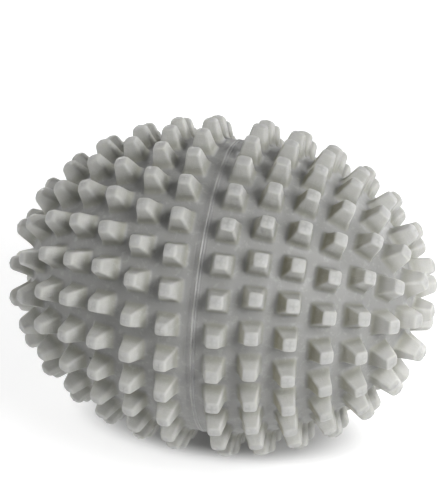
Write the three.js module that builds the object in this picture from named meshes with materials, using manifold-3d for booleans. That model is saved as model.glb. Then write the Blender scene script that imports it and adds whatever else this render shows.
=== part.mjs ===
// Oval dryer ball: a hollow soft-plastic ball covered in blunt spikes.
//
// Two half shells meet at the girth on a thin weld ring. Each half carries its
// spikes in rings around the long axis. Units are millimetres. The long axis
// lies along X, Z points up, and the lowest spike tips stand on z = 0.

import * as THREE from 'three';
import { mergeVertices } from 'three/addons/utils/BufferGeometryUtils.js';
import Module from 'manifold-3d';

// ---- driving dimensions ----------------------------------------------------

const OVERALL_LENGTH = 82;      // pole spike tip to pole spike tip
const OVERALL_DIAMETER = 65;    // across the spike tips at the girth
const WALL = 2.6;               // shell thickness
const SPIKE_HEIGHT = 4.6;       // surface to tip
const POLE_HEIGHT = 4.1;        // the same for the spike on each pole
const SPIKE_BASE = 4.6;         // side of the square root of a spike
const SPIKE_TIP = 2.8;          // side of the square tip of a spike
const FIRST_RING = 4.5;         // along the surface, girth to first ring
const RING_PITCH = 6.5;         // along the surface, ring to ring

const GAP = 0.3;                // clearance where two pieces meet
const LAP_LENGTH = 3.2;         // how far the weld ring reaches into a half
const LAP_DEPTH = 1.2;          // part of the wall that the weld ring takes
const WEB = 0.8;                // width of the weld ring between the halves
const RIDGE_HEIGHT = 0.35;      // how far the weld ring stands proud
const VENT_DIAMETER = 0.6;      // air hole in the left half
const VENT_ALONG = 20.2;        // vent, distance from the girth along X
const VENT_ANGLE = 100;         // vent, degrees from the top towards -Y

// The rings from the girth to the pole: how many spikes each has, and how far it
// is turned, as a part of its own spike spacing. One more spike stands on the pole.
const RIGHT_COUNTS = [27, 26, 24, 21, 17, 13, 7];
const RIGHT_TURNS = [0.5, 0.15, 0.88, 0.62, 0.92, 0.43, 0.29];
const LEFT_COUNTS = [27, 26, 24, 21, 18, 13, 7];
const LEFT_TURNS = [0.36, 0.07, 0.52, 0.98, 0.48, 0.92, 0.16];

const AROUND = 28;              // flats around the shell
const ALONG = 7;                // bands from the girth to the pole
const ALONG_INSIDE = 5;         // the same on the inside

// ---- derived dimensions ----------------------------------------------------

const HALF_LENGTH = OVERALL_LENGTH / 2 - POLE_HEIGHT;
const RADIUS = OVERALL_DIAMETER / 2 - SPIKE_HEIGHT;
const RIM = WEB / 2 + GAP;                        // rim face, distance from the girth
const SPIKE_ROOT = WALL * 0.4;                    // part of a spike inside the wall
const WELD_RADIUS = RADIUS - WALL + LAP_DEPTH;    // outside of the weld ring's lap

// ---- solids ----------------------------------------------------------------

const wasm = await Module();
wasm.setup();

function toSolid(geometry) {
  const bare = geometry.index ? geometry.toNonIndexed() : geometry.clone();
  bare.deleteAttribute('normal');
  bare.deleteAttribute('uv');
  const merged = mergeVertices(bare, 1e-4);
  const mesh = new wasm.Mesh({
    numProp: 3,
    vertProperties: new Float32Array(merged.attributes.position.array),
    triVerts: new Uint32Array(merged.index.array),
  });
  return new wasm.Manifold(mesh);
}

function toGeometry(solid) {
  const { vertProperties, triVerts } = solid.getMesh();
  const geometry = new THREE.BufferGeometry();
  geometry.setAttribute('position', new THREE.BufferAttribute(vertProperties, 3));
  geometry.setIndex(new THREE.BufferAttribute(triVerts, 1));
  const flat = geometry.toNonIndexed();
  flat.computeVertexNormals();
  return flat;
}

// A lathe turns around Y; the ball's long axis is X, so Y is laid onto X.
function turnedSolid(profile) {
  const geometry = new THREE.LatheGeometry(profile, AROUND);
  geometry.rotateZ(-Math.PI / 2);
  return toSolid(geometry);
}

// ---- the oval surface ------------------------------------------------------

// Points of an oval meridian from x = from to the pole, evenly spread in angle.
function meridian(halfLength, radius, from, bands) {
  const start = Math.asin(from / halfLength);
  const points = [];
  for (let i = 0; i <= bands; i += 1) {
    const angle = start + ((Math.PI / 2 - start) * i) / bands;
    const r = i === bands ? 0 : radius * Math.cos(angle);
    points.push(new THREE.Vector2(r, halfLength * Math.sin(angle)));
  }
  return points;
}

// The length along the outer meridian from the girth to each of many small steps.
function meridianLengths(steps) {
  const lengths = [0];
  for (let i = 0; i < steps; i += 1) {
    const angle = ((i + 0.5) / steps) * (Math.PI / 2);
    const rate = Math.hypot(HALF_LENGTH * Math.cos(angle), RADIUS * Math.sin(angle));
    lengths.push(lengths[i] + (rate * Math.PI) / 2 / steps);
  }
  return lengths;
}

const LENGTHS = meridianLengths(4000);
const QUARTER_LENGTH = LENGTHS[LENGTHS.length - 1];

// The place and outward normal on the meridian at a distance along the surface.
function surfaceAt(distance) {
  const reached = LENGTHS.findIndex((length) => length >= distance - 1e-9);
  const angle = ((reached / (LENGTHS.length - 1)) * Math.PI) / 2;
  const normal = new THREE.Vector2(Math.sin(angle) / HALF_LENGTH, Math.cos(angle) / RADIUS);
  normal.normalize();
  return { x: HALF_LENGTH * Math.sin(angle), r: RADIUS * Math.cos(angle), normal };
}

// ---- half shells -----------------------------------------------------------

// The wall of the right half: outer oval, inner oval, and a stepped rim that
// leaves room for the weld ring inside the wall.
function shellProfile() {
  const outer = meridian(HALF_LENGTH, RADIUS, RIM, ALONG);
  const inner = meridian(HALF_LENGTH - WALL, RADIUS - WALL, RIM + LAP_LENGTH, ALONG_INSIDE);
  const seat = WELD_RADIUS + GAP;
  return [
    ...inner.reverse(),
    new THREE.Vector2(seat, RIM + LAP_LENGTH),
    new THREE.Vector2(seat, RIM),
    ...outer,
  ];
}

// One blunt square spike standing on the oval, rooted a little way in the wall.
function spikeSolid(place, turn, height) {
  const length = height + SPIKE_ROOT;
  const taper = (SPIKE_BASE - SPIKE_TIP) / height;
  const rootSide = SPIKE_BASE + taper * SPIKE_ROOT;
  const geometry = new THREE.CylinderGeometry(
    SPIKE_TIP / Math.SQRT2,
    rootSide / Math.SQRT2,
    length,
    4,
  );
  geometry.rotateY(Math.PI / 4);
  geometry.translate(0, length / 2 - SPIKE_ROOT, 0);
  const lean = Math.atan2(place.normal.x, place.normal.y);
  geometry.rotateZ(-lean);
  geometry.translate(place.x, place.r, 0);
  geometry.rotateX(Math.PI / 2 + turn);
  return toSolid(geometry);
}

function spikeSolids(counts, turns) {
  const solids = [spikeSolid(surfaceAt(QUARTER_LENGTH), 0, POLE_HEIGHT)];
  counts.forEach((count, ring) => {
    const place = surfaceAt(FIRST_RING + ring * RING_PITCH);
    for (let i = 0; i < count; i += 1) {
      const turn = ((i + turns[ring]) * 2 * Math.PI) / count;
      solids.push(spikeSolid(place, turn, SPIKE_HEIGHT));
    }
  });
  return solids;
}

// A half shell with its spikes, on the +X side.
function halfShell(counts, turns) {
  return wasm.Manifold.union([turnedSolid(shellProfile()), ...spikeSolids(counts, turns)]);
}

function ventSolid() {
  const vent = new THREE.CylinderGeometry(VENT_DIAMETER / 2, VENT_DIAMETER / 2, 4 * WALL, 8);
  vent.translate(VENT_ALONG, RADIUS * 0.8, 0);
  vent.rotateX(Math.PI / 2 + THREE.MathUtils.degToRad(VENT_ANGLE));
  return toSolid(vent);
}

function rightHalf() {
  return halfShell(RIGHT_COUNTS, RIGHT_TURNS);
}

function leftHalf() {
  return halfShell(LEFT_COUNTS, LEFT_TURNS).subtract(ventSolid()).mirror([1, 0, 0]);
}

// ---- weld ring -------------------------------------------------------------

// A band that laps inside both rims, with a web that comes up between them
// and stands just proud of the surface.
function weldRingProfile() {
  const lapEnd = RIM + LAP_LENGTH - GAP;
  const inside = RADIUS - WALL;
  const crown = RADIUS + RIDGE_HEIGHT;
  return [
    new THREE.Vector2(inside, lapEnd),
    new THREE.Vector2(inside, -lapEnd),
    new THREE.Vector2(WELD_RADIUS, -lapEnd),
    new THREE.Vector2(WELD_RADIUS, -WEB / 2),
    new THREE.Vector2(crown, -WEB / 2),
    new THREE.Vector2(crown, WEB / 2),
    new THREE.Vector2(WELD_RADIUS, WEB / 2),
    new THREE.Vector2(WELD_RADIUS, lapEnd),
    new THREE.Vector2(inside, lapEnd),
  ];
}

// ---- assembly --------------------------------------------------------------

function piece(name, solid, colour, roughness) {
  const material = new THREE.MeshStandardMaterial({ color: colour, roughness, metalness: 0 });
  const mesh = new THREE.Mesh(toGeometry(solid), material);
  mesh.name = name;
  return mesh;
}

const ball = new THREE.Group();
ball.add(piece('right_half_shell', rightHalf(), 0xb0b0ad, 0.55));
ball.add(piece('left_half_shell', leftHalf(), 0xb0b0ad, 0.55));
ball.add(piece('weld_ring', turnedSolid(weldRingProfile()), 0xa6a6a3, 0.5));

// Stand the lowest spike tips on z = 0, centred over the origin.
const bounds = new THREE.Box3().setFromObject(ball);
const middle = bounds.getCenter(new THREE.Vector3());
ball.position.set(-middle.x, -middle.y, -bounds.min.z);
ball.updateMatrixWorld(true);

export default ball;
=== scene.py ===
# Oval dryer ball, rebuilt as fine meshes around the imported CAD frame.
#
# Two spiked half shells and the weld ring between them. Lengths of the ball are in
# millimetres, and MM turns them into metres when a mesh is made. The stage, lamps
# and camera are in metres. The shell surface is an oval: distance along it is
# measured from the girth to the pole, and angles go round the long axis X from the
# top towards -Y. Both halves are worked out on the +X side, and the left one is
# mirrored at the end.

import math
import bpy
import numpy as np
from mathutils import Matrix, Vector, noise
from mathutils.geometry import delaunay_2d_cdt


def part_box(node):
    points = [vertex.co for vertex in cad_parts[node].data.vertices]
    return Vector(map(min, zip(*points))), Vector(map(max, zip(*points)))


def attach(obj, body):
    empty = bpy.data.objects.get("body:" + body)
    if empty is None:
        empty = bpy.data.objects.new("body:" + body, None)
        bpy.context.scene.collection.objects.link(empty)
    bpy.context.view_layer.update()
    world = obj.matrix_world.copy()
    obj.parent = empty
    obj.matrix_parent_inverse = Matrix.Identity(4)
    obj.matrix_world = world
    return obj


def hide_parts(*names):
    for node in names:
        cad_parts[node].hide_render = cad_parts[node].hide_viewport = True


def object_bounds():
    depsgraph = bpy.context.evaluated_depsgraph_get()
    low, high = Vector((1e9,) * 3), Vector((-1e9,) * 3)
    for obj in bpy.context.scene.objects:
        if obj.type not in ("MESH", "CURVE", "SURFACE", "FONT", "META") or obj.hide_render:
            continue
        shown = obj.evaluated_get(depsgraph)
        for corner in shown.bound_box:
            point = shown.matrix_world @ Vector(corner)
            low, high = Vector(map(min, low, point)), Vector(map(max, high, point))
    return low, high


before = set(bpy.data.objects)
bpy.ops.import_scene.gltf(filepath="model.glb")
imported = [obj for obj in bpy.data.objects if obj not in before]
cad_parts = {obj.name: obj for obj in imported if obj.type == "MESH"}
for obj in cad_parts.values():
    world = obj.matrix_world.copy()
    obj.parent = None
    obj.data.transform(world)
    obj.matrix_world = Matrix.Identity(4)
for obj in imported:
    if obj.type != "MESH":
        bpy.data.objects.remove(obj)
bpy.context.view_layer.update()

# Without a seed, Blender takes one from the clock and no two runs are the same.
noise.seed_set(5)

# ---- driving dimensions -----------------------------------------------------

MM = 0.001

SPIKE_HEIGHT = 4.6
POLE_HEIGHT = 4.1           # height of the spike on each pole
SPIKE_BASE = 4.25           # side of the square flanks where they reach the body
FIRST_RING = 4.5            # along the surface, girth to first ring
RING_PITCH = 6.5            # along the surface, ring to ring

# The rings from the girth to the pole: how many spikes each has, and how far it
# is turned, as a part of its own spike spacing. One more spike stands on the pole.
RIGHT_COUNTS = [27, 26, 24, 21, 17, 13, 7]
RIGHT_TURNS = [0.5, 0.15, 0.88, 0.62, 0.92, 0.43, 0.29]
LEFT_COUNTS = [27, 26, 24, 21, 18, 13, 7]
LEFT_TURNS = [0.36, 0.07, 0.52, 0.98, 0.48, 0.92, 0.16]

# The side of a spike's square tip before its edge is rounded, then the rounding of
# that edge beside the girth and on the pole. The tips of the left half are rounder.
# The four long edges of every spike are sharper.
RIGHT_TIPS = (2.45, 0.62, 0.85)
LEFT_TIPS = (2.25, 0.95, 1.05)
LONG_EDGE = 0.55
CROWN = 0.12                # how far a tip's middle stands above its edge

FLARE_OUT = 0.5             # a spike's flank flares out by this much at its foot
FLARE_UP = 1.1              # and starts to flare this high above the body
FOOT_MARGIN = 0.3           # room between a foot and the loose points around it

# No two spikes are quite alike. Each differs by up to this much.
SIZE_SPREAD = 0.02
TURN_SPREAD = 2             # degrees from root to tip
LEAN_SPREAD = 0.02          # sideways for each millimetre up
TIP_WEAR = 0.12             # off its height
WAVES = 0.05                # unevenness of its flanks

WALL = 2.6
WELD_CROWN = 0.35           # the CAD weld ring above the shell surface
RIM = 0.45                  # rim of a half shell, distance from the girth
BAND_END = 1.35             # the plain band beside the rim ends here
FINE_LINE = 1.05            # a fine raised line in that band
FINE_LINE_HEIGHT = 0.035

WELD_HALF = 0.80            # half the width of the weld that shows
WEB_HALF = RIM - 0.03       # half the width of the weld between the two rims
WELD_LIFT = 0.012           # the weld's lowest part above the shell surface
WELD_EDGE = 0.004           # and the edges that lie on the rims

# The two fine ridges on the weld: height, place along X, and width.
LEFT_RIDGE = (0.12, 0.04, 0.17)
RIGHT_RIDGE = (0.08, 0.56, 0.15)

VENT_RADIUS = 0.28
VENT_MOUTH = 1.25           # the vent's mouth is wider by this factor
VENT_ALONG = 20.2           # distance from the girth along X
VENT_ANGLE = math.radians(100)

BODY_STEP = 0.85            # spacing of the points on the bare surface
INSIDE_STEP = 2.4           # and on the inside of the wall
RIM_POINTS = 280
WELD_POINTS = 480
VENT_POINTS = 12

low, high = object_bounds()
ring_low, ring_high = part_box("weld_ring")
HALF_LENGTH = (high.x - low.x) / 2 / MM - POLE_HEIGHT
RADIUS = (ring_high.z - ring_low.z) / 2 / MM - WELD_CROWN
CENTRE = Vector(((high.x + low.x) / 2, (high.y + low.y) / 2, (ring_high.z + ring_low.z) / 2))


# ---- the oval surface -------------------------------------------------------

STEPS = 4000
ANGLES = np.linspace(0, math.pi / 2, STEPS + 1)


def running_sum(rate):
    """The integral of a rate over ANGLES, by the midpoint of each step."""
    middle = (ANGLES[1:] + ANGLES[:-1]) / 2
    step = math.pi / 2 / STEPS
    return np.concatenate([[0], np.cumsum(rate(middle)) * step])


def stretch(angle):
    """The length along the surface for each radian of the oval's own angle."""
    return np.hypot(HALF_LENGTH * np.cos(angle), RADIUS * np.sin(angle))


LENGTHS = running_sum(stretch)
QUARTER = LENGTHS[-1]
FLATTEN = running_sum(lambda a: (stretch(a) / RADIUS - 1) / np.cos(a))


def angle_at(distance):
    """The oval's own angle at a distance along the surface from the girth."""
    return float(np.interp(distance, LENGTHS, ANGLES))


def on_surface(angle, turn):
    """Points of the right half of the oval."""
    r = RADIUS * np.cos(angle)
    return np.stack([HALF_LENGTH * np.sin(angle), -r * np.sin(turn), r * np.cos(turn)], -1)


def normal_at(points):
    scaled = points / np.array([HALF_LENGTH, RADIUS, RADIUS]) ** 2
    return scaled / np.linalg.norm(scaled, axis=-1, keepdims=True)


def oval_radius(x):
    return RADIUS * math.sqrt(1 - (x / HALF_LENGTH) ** 2)


def around_axis(turn):
    """The direction in which the turn about the long axis grows."""
    return np.array([0, -math.cos(turn), -math.sin(turn)])


def flat_map(points):
    """Lays the right half out on a disc without changing small shapes, pole in the middle."""
    angle = np.arcsin(np.clip(points[:, 0] / HALF_LENGTH, 0, 1))
    turn = np.arctan2(-points[:, 1], points[:, 2])
    far = np.tan(math.pi / 4 - angle / 2) * np.exp(-np.interp(angle, ANGLES, FLATTEN))
    return np.stack([far * np.cos(turn), far * np.sin(turn)], -1) * 100


def drop(points, direction, half_length, radius):
    """Moves points along a direction until they lie on an oval of the given size."""
    size = np.array([half_length, radius, radius])
    p = points / size
    d = direction / size
    along = (p * d).sum(-1)
    steep = (d * d).sum(-1)
    reach = (-along + np.sqrt(along ** 2 - steep * ((p * p).sum(-1) - 1))) / steep
    return points + reach[:, None] * direction


# ---- a piece's surface ------------------------------------------------------

class Sheet:
    """Vertices and faces of one piece, with the numbers its material reads.

    Rise is 0 on the body, 1 at a spike's tip and below 0 inside the wall. Edge is how
    exposed to wear a point is, and on the weld's ridge tops it also marks a painted
    highlight. Local is its place within its own spike.
    """

    def __init__(self):
        self.points = []
        self.rise = []
        self.edge = []
        self.local = []
        self.faces = []

    def add(self, points, rise, edge=None, local=None):
        count = len(points)
        start = len(self.points)
        self.points.extend(points)
        self.rise.extend([rise] * count)
        self.edge.extend([0] * count if edge is None else edge)
        self.local.extend([(0, 0, 0)] * count if local is None else local)
        return list(range(start, start + count))

    def bridge(self, low_loop, high_loop):
        for i in range(len(low_loop)):
            j = (i + 1) % len(low_loop)
            self.faces.append((low_loop[i], low_loop[j], high_loop[j], high_loop[i]))

    def cap(self, loop, centre):
        for i in range(len(loop)):
            self.faces.append((loop[i], loop[(i + 1) % len(loop)], centre))


def add_attribute(mesh, name, kind, field, values):
    attribute = mesh.attributes.new(name, kind, "POINT")
    attribute.data.foreach_set(field, np.array(values, np.float32).ravel())


def make_piece(name, sheet, side):
    """Turns a sheet into a Blender object, mirrored to the left when side is -1."""
    points = np.array(sheet.points, float)
    points[:, 0] *= side
    points = points * MM + np.array(CENTRE)
    faces = sheet.faces if side > 0 else [face[::-1] for face in sheet.faces]
    mesh = bpy.data.meshes.new(name)
    mesh.from_pydata(points.tolist(), [], faces)
    mesh.validate()
    add_attribute(mesh, "rise", "FLOAT", "value", sheet.rise)
    add_attribute(mesh, "edge", "FLOAT", "value", sheet.edge)
    add_attribute(mesh, "local", "FLOAT_VECTOR", "vector", sheet.local)
    mesh.polygons.foreach_set("use_smooth", [True] * len(mesh.polygons))
    mesh.update()
    obj = bpy.data.objects.new(name, mesh)
    bpy.context.scene.collection.objects.link(obj)
    return obj


# ---- spikes -----------------------------------------------------------------

SIDE_POINTS = 4             # points along each side of a spike's section
CORNER_POINTS = 5           # and around each corner
FLARE_LOOPS = 6             # loops up the flared foot
FLANK_LOOPS = 4             # up the straight flank
EDGE_LOOPS = 7              # and around the tip's edge


class Spike:
    """Where one spike stands, how tall and how round it is, and its three axes."""

    def __init__(self, tall, tip, rounding, angle, turn):
        self.tall = tall
        self.tip = tip
        self.rounding = rounding
        self.foot = on_surface(np.array(angle), np.array(turn))
        self.out = normal_at(self.foot)
        self.around = around_axis(turn)
        self.pole_ward = np.cross(self.around, self.out)


def spikes_of_half(counts, turns, tips):
    tip, at_girth, at_pole = tips
    spikes = [Spike(POLE_HEIGHT, tip, at_pole, math.pi / 2, 0)]
    for ring, count in enumerate(counts):
        angle = angle_at(FIRST_RING + ring * RING_PITCH)
        rounding = at_girth + (at_pole - at_girth) * ring / len(counts)
        for i in range(count):
            turn = (i + turns[ring]) * 2 * math.pi / count
            spikes.append(Spike(SPIKE_HEIGHT, tip, rounding, angle, turn))
    return spikes


def rounded_square(half, corner):
    """A square outline with round corners and very slightly bowed sides."""
    corner = min(corner, half * 0.98)
    flat = half - corner
    bow = 0.02 * half
    points = []
    for quarter in range(4):
        for i in range(SIDE_POINTS):
            t = (i + 0.5) / SIDE_POINTS * 2 - 1
            points.append((quarter, half + bow * (1 - t * t), t * flat))
        for i in range(CORNER_POINTS):
            a = math.radians(90) * (i + 0.5) / CORNER_POINTS
            points.append((quarter, flat + corner * math.cos(a), flat + corner * math.sin(a)))
    turned = []
    for quarter, out, along in points:
        c = [1, 0, -1, 0][quarter]
        s = [0, 1, 0, -1][quarter]
        turned.append((c * out - s * along, s * out + c * along))
    return np.array(turned)


def spike_sections(tall, tip, edge):
    """Loops from the body up to the tip: height, half width, corner radius, wear."""
    slope = (SPIKE_BASE - tip) / 2 / tall
    taper = math.atan(slope)
    lean = math.hypot(1, slope)
    top = tall - CROWN
    tip_half = SPIKE_BASE / 2 - slope * (top - edge) - edge * lean
    loops = []
    for i in range(FLARE_LOOPS):
        a = math.pi / 2 * (i / FLARE_LOOPS) ** 0.9
        height = FLARE_UP * (1 - math.cos(a))
        flare = FLARE_OUT * (1 - math.sin(a))
        loops.append((height, SPIKE_BASE / 2 - slope * height + flare, LONG_EDGE * 0.8 + flare, 0))
    flank_top = top - edge + edge * math.sin(taper)
    for i in range(FLANK_LOOPS):
        height = FLARE_UP + (flank_top - FLARE_UP) * i / FLANK_LOOPS
        half = SPIKE_BASE / 2 - slope * height
        loops.append((height, half, LONG_EDGE * (0.8 + 0.2 * i / FLANK_LOOPS), 0))
    for i in range(EDGE_LOOPS):
        share = i / (EDGE_LOOPS - 1)
        a = taper + (math.pi / 2 - taper) * share
        inward = edge - edge * math.cos(a)
        half = tip_half + edge - inward
        corner = LONG_EDGE + 0.3 * inward
        loops.append((top - edge + edge * math.sin(a), half, corner, math.sin(math.pi * share)))
    for k in (0.7, 0.4):
        loops.append((top + CROWN * (1 - k * k), tip_half * k, (LONG_EDGE + 0.3 * edge) * k, 0))
    return loops


def raise_spike(sheet, spike, rng):
    """One spike with its flared foot. Returns the loop where it meets the bare body."""
    size = 1 + rng.uniform(-SIZE_SPREAD, SIZE_SPREAD)
    twist = math.radians(rng.uniform(-TURN_SPREAD, TURN_SPREAD))
    lean = rng.uniform(-LEAN_SPREAD, LEAN_SPREAD, 2)
    shorter = rng.uniform(0, TIP_WEAR)
    seed = rng.uniform(0, 500, 3)
    arc = [math.sin(math.pi * (i + 0.5) / CORNER_POINTS) for i in range(CORNER_POINTS)]
    corner_wear = ([0] * SIDE_POINTS + arc) * 4
    loops = []
    for height, half, corner, rim_wear in spike_sections(spike.tall, spike.tip, spike.rounding):
        flat = rounded_square(half * size, corner * size)
        share = height / spike.tall
        c = math.cos(twist * share)
        s = math.sin(twist * share)
        p = flat[:, 0] * c - flat[:, 1] * s + lean[0] * height
        q = flat[:, 0] * s + flat[:, 1] * c + lean[1] * height
        level = spike.foot + np.outer(p, spike.pole_ward) + np.outer(q, spike.around)
        grounded = drop(level, spike.out, HALF_LENGTH, RADIUS)
        sag = ((grounded - level) @ spike.out) * max(0, 1 - share * 1.6)
        points = level + np.outer(sag + height - shorter * share, spike.out)
        waves = WAVES * min(1, share * 3)
        for i, point in enumerate(points):
            push = Vector(noise.noise_vector(Vector(point * 0.45 + seed)))
            points[i] = point + np.array(push) * waves
        below_tip = min(1, share * 2) * (share < 0.99)
        wear = [max(rim_wear, w * below_tip) for w in corner_wear]
        local = [(a + seed[0], b + seed[1], height) for a, b in zip(p, q)]
        loops.append(sheet.add(points, share, wear, local))
    for low_loop, high_loop in zip(loops, loops[1:]):
        sheet.bridge(low_loop, high_loop)
    leaning = spike.pole_ward * lean[0] + spike.around * lean[1]
    tip = spike.foot + spike.out * (spike.tall - shorter) + leaning * spike.tall
    centre = sheet.add([tip], 1, [0], [(seed[0], seed[1], spike.tall)])[0]
    sheet.cap(loops[-1], centre)
    return loops[0]


# ---- bare surface -----------------------------------------------------------

def clear_of_spikes(points, spikes):
    """The points that stand outside every spike's foot."""
    half = SPIKE_BASE / 2 + FLARE_OUT + FOOT_MARGIN
    clear = np.ones(len(points), bool)
    for spike in spikes:
        away = points - spike.foot
        near = np.abs(away @ spike.out) < 3
        p = np.abs(away @ spike.pole_ward)
        q = np.abs(away @ spike.around)
        clear &= ~(near & (np.maximum(p, q) < half))
    return points[clear]


def clear_of_loops(points, sheet, loops, distance):
    """The points that are farther than a distance from the middle of each loop."""
    for loop in loops:
        middle = np.mean([sheet.points[i] for i in loop], axis=0)
        points = points[np.linalg.norm(points - middle, axis=1) > distance]
    return points


def scattered(start, step, rng):
    """Evenly spread points from a distance along the surface up to the pole."""
    rows = []
    count_rows = int((QUARTER - start) / step)
    for row in range(count_rows):
        angle = angle_at(start + (row + 0.7) * (QUARTER - start) / count_rows)
        count = max(1, round(2 * math.pi * RADIUS * math.cos(angle) / step))
        turns = (np.arange(count) + 0.5 * (row % 2)) * 2 * math.pi / count
        turns = turns + rng.uniform(-0.1, 0.1, count) / count
        rows.append(on_surface(np.full(count, angle), turns))
    return np.concatenate(rows)


def stitch(sheet, loops, loose, reverse=False):
    """Fills the surface between closed loops, through the loose points."""
    index = [i for loop in loops for i in loop] + loose
    flat = flat_map(np.array([sheet.points[i] for i in index]))
    order = {vertex: k for k, vertex in enumerate(index)}
    edges = []
    owner = np.full(len(index), -1)
    for number, loop in enumerate(loops):
        for i in range(len(loop)):
            edges.append((order[loop[i]], order[loop[(i + 1) % len(loop)]]))
            owner[order[loop[i]]] = number
    coords = [Vector(c) for c in flat]
    _, _, triangles, source, _, _ = delaunay_2d_cdt(coords, edges, [], 0, 1e-7)
    for triangle in triangles:
        a, b, c = [source[i][0] for i in triangle]
        inside_hole = owner[a] > 0 and owner[a] == owner[b] == owner[c]
        if not inside_hole:
            face = (index[a], index[b], index[c])
            sheet.faces.append(face[::-1] if reverse else face)


# ---- half shells ------------------------------------------------------------

def ring_points(x, radius, count):
    turns = np.arange(count) * 2 * math.pi / count
    return np.stack([np.full(count, x), -radius * np.sin(turns), radius * np.cos(turns)], -1)


def rim_band(sheet):
    """Loops from inside the rim, over its rounded edge, to the bare body."""
    profile = [
        (RIM + 0.10, -WALL),
        (RIM, -WALL + 0.10),
        (RIM, -WALL / 2),
        (RIM, -0.05),
        (RIM + 0.03, 0.0),
        (WELD_HALF - 0.05, 0.0),
        (FINE_LINE - 0.10, 0.0),
        (FINE_LINE, FINE_LINE_HEIGHT),
        (FINE_LINE + 0.10, 0.0),
        (BAND_END, 0.0),
    ]
    loops = []
    for x, rise in profile:
        loops.append(sheet.add(ring_points(x, oval_radius(x) + rise, RIM_POINTS), 0))
    for low_loop, high_loop in zip(loops, loops[1:]):
        sheet.bridge(low_loop, high_loop)
    return loops


def vent_loop(sheet, radius, wall):
    """The vent's round edge, at a depth of wall below the outer oval."""
    angle = math.asin(VENT_ALONG / HALF_LENGTH)
    foot = on_surface(np.array(angle), np.array(VENT_ANGLE))
    out = normal_at(foot)
    around = around_axis(VENT_ANGLE)
    pole_ward = np.cross(around, out)
    turns = np.arange(VENT_POINTS) * 2 * math.pi / VENT_POINTS
    level = foot + radius * (np.outer(np.cos(turns), pole_ward) + np.outer(np.sin(turns), around))
    return sheet.add(drop(level, out, HALF_LENGTH - wall, RADIUS - wall), -wall / SPIKE_HEIGHT)


def half_shell(name, counts, turns, tips, side, seed):
    """One half: rim, spikes, bare surface, and the inside of the wall. The left one is vented."""
    rng = np.random.default_rng(seed)
    sheet = Sheet()
    spikes = spikes_of_half(counts, turns, tips)
    band = rim_band(sheet)
    feet = [raise_spike(sheet, spike, rng) for spike in spikes]
    outer_vents = []
    inner_vents = []
    if side < 0:
        outer_vents.append(vent_loop(sheet, VENT_RADIUS * VENT_MOUTH, 0))
        inner_vents.append(vent_loop(sheet, VENT_RADIUS, WALL))
        sheet.bridge(outer_vents[0], inner_vents[0])

    bare = scattered(BAND_END + FOOT_MARGIN, BODY_STEP, rng)
    bare = clear_of_spikes(bare, spikes)
    bare = clear_of_loops(bare, sheet, outer_vents, BODY_STEP - 0.05)
    stitch(sheet, [band[-1]] + feet + outer_vents, sheet.add(bare, 0))

    inside = scattered(RIM + 2.5, INSIDE_STEP, rng)
    inside = clear_of_loops(inside, sheet, inner_vents, INSIDE_STEP + 0.1)
    shrink = np.array([(HALF_LENGTH - WALL) / HALF_LENGTH] + [(RADIUS - WALL) / RADIUS] * 2)
    loose = sheet.add(inside * shrink, -WALL / SPIKE_HEIGHT)
    stitch(sheet, [band[0]] + inner_vents, loose, reverse=True)
    return make_piece(name, sheet, side)


# ---- weld ring --------------------------------------------------------------

def ridge_height(x, ridge):
    height, place, width = ridge
    return height * math.exp(-((x - place) / width) ** 2)


def weld_profile():
    """The weld's outline as pairs of X and radius: across the top, then down and back inside."""
    bands = 14
    inside = RADIUS - WALL + 0.02
    profile = []
    for i in range(2 * bands + 1):
        x = WELD_HALF * (i / bands - 1)
        above = ridge_height(x, LEFT_RIDGE) + ridge_height(x, RIGHT_RIDGE) + WELD_LIFT
        profile.append((x, oval_radius(x) + above))
    profile.append((WELD_HALF, oval_radius(WELD_HALF) + WELD_EDGE))
    profile.append((WEB_HALF, oval_radius(WEB_HALF) + WELD_EDGE))
    profile.append((WEB_HALF, inside))
    profile.append((-WEB_HALF, inside))
    profile.append((-WEB_HALF, oval_radius(WEB_HALF) + WELD_EDGE))
    profile.append((-WELD_HALF, oval_radius(WELD_HALF) + WELD_EDGE))
    return profile


def weld_ring(name):
    """The weld, with two slightly ragged ridges that are painted pale along their tops, partly
    wear and partly a painted highlight.
    """
    sheet = Sheet()
    turns = np.arange(WELD_POINTS) * 2 * math.pi / WELD_POINTS
    loops = []
    for x, radius in weld_profile():
        points = ring_points(x, radius, WELD_POINTS)
        above = radius - oval_radius(x)
        for i, turn in enumerate(turns):
            spot = Vector((math.cos(turn) * 9, math.sin(turn) * 9, x * 1.5))
            ragged = noise.noise(spot) * 0.05 + noise.noise(spot * 3.1) * 0.03
            out = np.array([0, -math.sin(turn), math.cos(turn)])
            if above > 0.03:
                points[i] += out * ragged * min(1, above / 0.2)
        # Painted highlight: the ridge tops get the pale rubbed colour, partly wear and partly a
        # painted highlight.
        worn_and_highlit = min(1, max(0, above - 0.02) / 0.08)
        loops.append(sheet.add(points, 0, [worn_and_highlit] * WELD_POINTS))
    for low_loop, high_loop in zip(loops, loops[1:] + loops[:1]):
        sheet.bridge(low_loop, high_loop)
    return make_piece(name, sheet, 1)


# ---- material ---------------------------------------------------------------

BODY_COLOUR = (0.296, 0.296, 0.288)
# Painted light: the spikes are painted paler than the body, a glow of light through the thin
# plastic.
SPIKE_GLOW_COLOUR = (0.495, 0.495, 0.47)
TIP_COLOUR = (0.435, 0.435, 0.423)
# Painted light: the spikes near the poles are painted paler, a glow of light through them.
END_GLOW_COLOUR = (0.74, 0.735, 0.71)        # spikes near the poles
# Painted shade: the feet of the spikes are painted darker and olive.
ROOT_SHADE_COLOUR = (0.33, 0.328, 0.262)
# Painted shade on the spike flanks that face away from the key lamp.
SHADED_FLANK_COLOUR = (0.35, 0.325, 0.205)
SHADE_COLOUR = (0.28, 0.28, 0.268)
SCUFF_COLOUR = (0.60, 0.60, 0.585)


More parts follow.
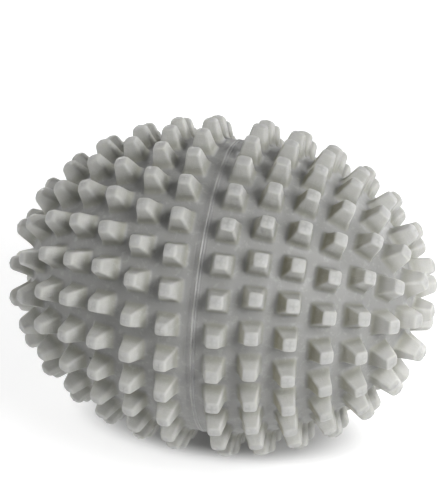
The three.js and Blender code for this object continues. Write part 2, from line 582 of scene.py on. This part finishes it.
class Nodes:
    """Short helpers for building one node material."""

    def __init__(self, name):
        self.material = bpy.data.materials.new(name)
        self.material.use_nodes = True
        self.tree = self.material.node_tree
        self.shader = self.tree.nodes["Principled BSDF"]

    def add(self, kind, **settings):
        node = self.tree.nodes.new(kind)
        for key, value in settings.items():
            setattr(node, key, value)
        return node

    def join(self, source, target):
        self.tree.links.new(source, target)

    def attribute(self, name):
        return self.add("ShaderNodeAttribute", attribute_name=name)

    def noise(self, vector, scale, detail=3.0, rough=0.5):
        node = self.add("ShaderNodeTexNoise")
        node.inputs["Scale"].default_value = scale
        node.inputs["Detail"].default_value = detail
        node.inputs["Roughness"].default_value = rough
        self.join(vector, node.inputs["Vector"])
        return node.outputs["Fac"]

    def remap(self, value, low_in, high_in, low_out, high_out):
        """Goes smoothly from low_out to high_out as the value goes from low_in to high_in."""
        node = self.add("ShaderNodeMapRange", interpolation_type="SMOOTHSTEP")
        for socket, number in zip(node.inputs[1:5], (low_in, high_in, low_out, high_out)):
            socket.default_value = number
        self.join(value, node.inputs["Value"])
        return node.outputs["Result"]

    def maths(self, operation, a, b):
        node = self.add("ShaderNodeMath", operation=operation)
        for socket, value in zip(node.inputs, (a, b)):
            if isinstance(value, (int, float)):
                socket.default_value = value
            else:
                self.join(value, socket)
        return node.outputs["Value"]

    def times(self, a, b):
        return self.maths("MULTIPLY", a, b)

    def plus(self, a, b):
        return self.maths("ADD", a, b)

    def mix(self, factor, a, b):
        node = self.add("ShaderNodeMix", data_type="RGBA")
        self.join(factor, node.inputs["Factor"])
        for socket, value in zip((node.inputs[6], node.inputs[7]), (a, b)):
            if isinstance(value, tuple):
                socket.default_value = (*value, 1)
            else:
                self.join(value, socket)
        return node.outputs[2]

    def x_of(self, vector):
        node = self.add("ShaderNodeSeparateXYZ")
        self.join(vector, node.inputs["Vector"])
        return node.outputs["X"]

    def stretched(self, vector, scale):
        node = self.add("ShaderNodeMapping")
        node.inputs["Scale"].default_value = scale
        self.join(vector, node.inputs["Vector"])
        return node.outputs["Vector"]


def drawn_lines(n, local, on_spike):
    """Fine lines up the flanks, from the spike being drawn out of its mould."""
    return n.times(n.noise(n.stretched(local, (3.2, 3.2, 0.12)), 1.0, 4, 0.65), on_spike)


def mould_rings(n, local, on_spike):
    """Faint level rings around a spike."""
    return n.times(n.noise(n.stretched(local, (0.5, 0.5, 6.0)), 1.0, 3, 0.6), on_spike)


def colour_with_painted_light(n, place, normal, rise, cloudy):
    """The plastic without wear: body, spikes and tips, with painted light and shade: the glow of
    the spikes and their ends, painted shade at the roots, and painted shade on the flanks away
    from the key lamp.
    """
    along = n.x_of(place)
    # Painted light: the spikes are painted paler than the body, the glow of light through them.
    base = n.mix(n.remap(rise, -0.05, 0.6, 0.0, 1.0), BODY_COLOUR, SPIKE_GLOW_COLOUR)
    # Painted light: the spikes near both poles are painted paler, a glow of light through them.
    pole_glow = n.remap(n.maths("ABSOLUTE", along, 0), 0.027, 0.041, 0.0, 0.7)
    base = n.mix(n.times(pole_glow, n.remap(rise, 0.0, 0.3, 0.0, 1.0)), base, END_GLOW_COLOUR)
    base = n.mix(n.remap(rise, 0.88, 0.97, 0.0, 1.0), base, TIP_COLOUR)

    # Painted shade: the feet of the spikes are painted darker and olive, where shade gathers at
    # their roots.
    root = n.times(n.remap(rise, 0.0, 0.12, 0.0, 1.0), n.remap(rise, 0.15, 0.6, 1.0, 0.0))
    root = n.times(root, n.remap(cloudy, 0.3, 0.7, 0.35, 0.75))
    base = n.mix(root, base, ROOT_SHADE_COLOUR)

    # Painted shade: the flanks of the right half that face the girth, away from the key lamp, are
    # painted darker and yellowed.
    away_from_key = n.remap(n.x_of(normal), -0.85, -0.35, 0.75, 0.0)
    flank_shade = n.times(away_from_key, n.remap(along, 0.002, 0.018, 0.0, 1.0))
    flank_shade = n.times(flank_shade, n.remap(rise, 0.03, 0.2, 0.0, 1.0))
    return n.mix(flank_shade, base, SHADED_FLANK_COLOUR)


def worn_and_highlit_colour(n, place, base, cloudy, drawn, rings):
    """Pale scuffs along the lines and rings, specks, soft darker clouds, and rubbed edges; on the
    weld's ridge tops the rubbed pale is also a painted highlight.
    """
    edge = n.attribute("edge").outputs["Fac"]
    base = n.mix(n.remap(drawn, 0.5, 0.75, 0.0, 0.3), base, SCUFF_COLOUR)
    base = n.mix(n.remap(rings, 0.52, 0.72, 0.0, 0.3), base, SCUFF_COLOUR)
    base = n.mix(n.remap(cloudy, 0.3, 0.7, 0.0, 0.3), base, SHADE_COLOUR)
    specks = n.noise(place, 900, 3, 0.6)
    base = n.mix(n.remap(specks, 0.5, 0.75, 0.0, 0.2), base, SCUFF_COLOUR)
    # Rubbed edges are painted pale: wear on the spikes, and on the weld's ridge tops also a
    # painted highlight.
    rubbed_and_highlit = n.times(edge, n.remap(cloudy, 0.35, 0.65, 0.1, 0.4))
    return n.mix(rubbed_and_highlit, base, SCUFF_COLOUR)


def skin_bump(n, place, drawn, rings):
    """Grain, flow marks along the ball, and the lines and rings, as a normal for the shader."""
    grain = n.noise(place, 2400, 2)
    flow = n.noise(n.stretched(place, (900, 90, 90)), 1.0, 3, 0.5)
    height = n.plus(n.times(grain, 0.25), n.times(drawn, 1.2))
    height = n.plus(height, n.times(rings, 1.1))
    height = n.plus(height, n.times(flow, 0.35))
    bump = n.add("ShaderNodeBump")
    bump.inputs["Strength"].default_value = 0.55
    bump.inputs["Distance"].default_value = 0.00018
    n.join(height, bump.inputs["Height"])
    return bump.outputs["Normal"]


def soft_plastic(name):
    """Grey soft plastic. The spikes are painted paler than the body, a painted glow of light
    through the thin plastic.
    """
    n = Nodes(name)
    coords = n.add("ShaderNodeTexCoord")
    place = coords.outputs["Object"]
    rise = n.attribute("rise").outputs["Fac"]
    local = n.attribute("local").outputs["Vector"]
    cloudy = n.noise(place, 110, 4)
    on_spike = n.times(n.remap(rise, 0.1, 0.4, 0.0, 1.0), n.remap(rise, 0.9, 0.98, 1.0, 0.4))
    drawn = drawn_lines(n, local, on_spike)
    rings = mould_rings(n, local, on_spike)

    clean_with_painted_light = colour_with_painted_light(n, place, coords.outputs["Normal"], rise, cloudy)
    worn_and_highlit = worn_and_highlit_colour(n, place, clean_with_painted_light, cloudy, drawn, rings)
    rough = n.remap(n.noise(place, 420, 3), 0.3, 0.7, 0.44, 0.6)
    n.join(worn_and_highlit, n.shader.inputs["Base Color"])
    n.join(rough, n.shader.inputs["Roughness"])
    n.join(skin_bump(n, place, drawn, rings), n.shader.inputs["Normal"])

    n.shader.inputs["Subsurface Weight"].default_value = 0.18
    n.shader.inputs["Subsurface Scale"].default_value = 0.0012
    n.shader.inputs["Subsurface Radius"].default_value = (1.0, 1.0, 0.7)
    n.shader.inputs["IOR"].default_value = 1.46
    return n.material


# ---- stage, in metres -------------------------------------------------------

STAGE_HALF = 3.0            # half the side of the floor
WALL_RADIUS = 2.9           # the white wall around the stage
WALL_HEIGHT = 3.0
WALL_SIDES = 48
# Painted shadow: the floor is darker in this oval under the ball.
SHADOW_OVAL_SCALE = (33, 74, 0)    # one over the half length and half width of the dark oval
BOUNCE_DEPTH = 0.0001       # the lower floor, below the upper one
WHITE = (1, 1, 1, 1)


def make_plane(name, depth, base, glow_near, glow_far):
    """A large level plane. Its glow is faint in an oval under the ball, a painted shadow on the
    floor the camera sees, and full far away.
    """
    mesh = bpy.data.meshes.new(name)
    size = STAGE_HALF
    corners = [(-size, -size, 0), (size, -size, 0), (size, size, 0), (-size, size, 0)]
    mesh.from_pydata(corners, [], [(0, 1, 2, 3)])
    plane = bpy.data.objects.new(name, mesh)
    bpy.context.scene.collection.objects.link(plane)
    plane.location.z = low.z - depth
    n = Nodes(name)
    n.shader.inputs["Base Color"].default_value = (base, base, base, 1)
    n.shader.inputs["Roughness"].default_value = 0.7
    n.shader.inputs["Emission Color"].default_value = WHITE
    away = n.add("ShaderNodeVectorMath", operation="LENGTH")
    shadow_oval = n.stretched(n.add("ShaderNodeTexCoord").outputs["Object"], SHADOW_OVAL_SCALE)
    n.join(shadow_oval, away.inputs[0])
    # Painted shadow: the glow is faint inside the oval under the ball.
    glow = n.remap(away.outputs["Value"], 0.6, 1.05, 0.05, glow_near)
    far_glow = n.remap(away.outputs["Value"], 8.0, 30.0, 0.0, glow_far - glow_near)
    n.join(n.plus(glow, far_glow), n.shader.inputs["Emission Strength"])
    mesh.materials.append(n.material)
    return plane


def make_floor():
    """The white floor that the camera sees, with a painted shadow under the ball, and a dimmer one
    below it that lights the ball.
    """
    floor = make_plane("floor", 0, 0.5, 0.70, 1.0)
    floor.visible_diffuse = False
    floor.visible_glossy = False
    floor.visible_shadow = False
    bounce = make_plane("floor_bounce", BOUNCE_DEPTH, 0.9, 0.22, 0.5)
    bounce.visible_camera = False


def make_backdrop():
    """A white wall all around, seen by the camera only, so low views have a plain background."""
    points = []
    for z in (low.z, low.z + WALL_HEIGHT):
        for i in range(WALL_SIDES):
            a = 2 * math.pi * i / WALL_SIDES
            points.append((WALL_RADIUS * math.cos(a), WALL_RADIUS * math.sin(a), z))
    faces = []
    for i in range(WALL_SIDES):
        j = (i + 1) % WALL_SIDES
        faces.append((i, j, WALL_SIDES + j, WALL_SIDES + i))
    mesh = bpy.data.meshes.new("backdrop")
    mesh.from_pydata(points, [], faces)
    wall = bpy.data.objects.new("backdrop", mesh)
    bpy.context.scene.collection.objects.link(wall)
    wall.visible_diffuse = False
    wall.visible_glossy = False
    wall.visible_shadow = False
    n = Nodes("backdrop")
    n.shader.inputs["Emission Color"].default_value = WHITE
    n.shader.inputs["Emission Strength"].default_value = 1.0
    mesh.materials.append(n.material)


# ---- light and camera, in metres and degrees --------------------------------

LAMP_DISTANCE = 0.8

# Each lamp: azimuth, elevation, side, and power in watts. Azimuth 0 is in front,
# at -Y, and 90 is at +X.
LAMPS = {
    "key": (57, 36, 0.38, 5.55),
    "top": (45, 65, 0.35, 0.75),
    "back_right": (145, 8, 0.35, 2.95),
    "back_left": (210, 8, 0.35, 2.1),
    "back_top": (210, 32, 0.35, 0.6),
    "left": (268, 8, 0.35, 1.2),
    "front_left": (295, 30, 0.35, 0.95),
}
WORLD_STRENGTH = 0.05

CAMERA_AZIMUTH = 12.5
CAMERA_ELEVATION = 35.3
CAMERA_DISTANCE = 0.750
CAMERA_LENS = 295.3         # millimetres, on a sensor 36 mm wide
AIM_UP = 0.00863            # the camera looks this far above the ball's middle
AIM_LEFT = 0.00048          # and this far to its left


def direction(azimuth, elevation):
    """From the ball's middle towards an azimuth and elevation."""
    a = math.radians(azimuth)
    e = math.radians(elevation)
    return Vector((math.sin(a) * math.cos(e), -math.cos(a) * math.cos(e), math.sin(e)))


def make_lamp(name, azimuth, elevation, size, power):
    """A soft square lamp that faces the ball."""
    lamp = bpy.data.lights.new(name, "AREA")
    lamp.size = size
    lamp.energy = power
    obj = bpy.data.objects.new(name, lamp)
    bpy.context.scene.collection.objects.link(obj)
    away = direction(azimuth, elevation)
    obj.location = CENTRE + away * LAMP_DISTANCE
    obj.rotation_mode = "QUATERNION"
    obj.rotation_quaternion = away.to_track_quat("Z", "Y")
    obj.visible_camera = False


def make_world():
    world = bpy.data.worlds.new("studio")
    world.use_nodes = True
    background = world.node_tree.nodes["Background"]
    background.inputs["Color"].default_value = WHITE
    background.inputs["Strength"].default_value = WORLD_STRENGTH
    bpy.context.scene.world = world


def make_camera():
    """The camera looks down on the ball from the front, a little from the right."""
    data = bpy.data.cameras.new("camera")
    data.lens = CAMERA_LENS
    data.sensor_width = 36
    data.clip_start = 0.01
    camera = bpy.data.objects.new("camera", data)
    bpy.context.scene.collection.objects.link(camera)
    away = direction(CAMERA_AZIMUTH, CAMERA_ELEVATION)
    right = direction(CAMERA_AZIMUTH + 90, 0)
    up = away.cross(right)
    camera.location = CENTRE + away * CAMERA_DISTANCE
    aim = CENTRE + up * AIM_UP - right * AIM_LEFT
    camera.rotation_mode = "QUATERNION"
    camera.rotation_quaternion = (aim - camera.location).to_track_quat("-Z", "Y")
    bpy.context.scene.camera = camera


# ---- assembly ---------------------------------------------------------------

shell_material = soft_plastic("soft_grey")

right = half_shell("right_shell_spiked", RIGHT_COUNTS, RIGHT_TURNS, RIGHT_TIPS, 1, 11)
left = half_shell("left_shell_spiked", LEFT_COUNTS, LEFT_TURNS, LEFT_TIPS, -1, 23)
weld = weld_ring("weld_bead")

for piece, node, slot in (
    (right, "right_half_shell", "shell_right"),
    (left, "left_half_shell", "shell_left"),
    (weld, "weld_ring", "weld"),
):
    piece.data.materials.append(shell_material)
    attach(piece, "root")
    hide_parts(node)

make_floor()
make_backdrop()
make_world()
for lamp_name, settings in LAMPS.items():
    make_lamp(lamp_name, *settings)
make_camera()
bpy.context.scene.view_settings.view_transform = "Standard"
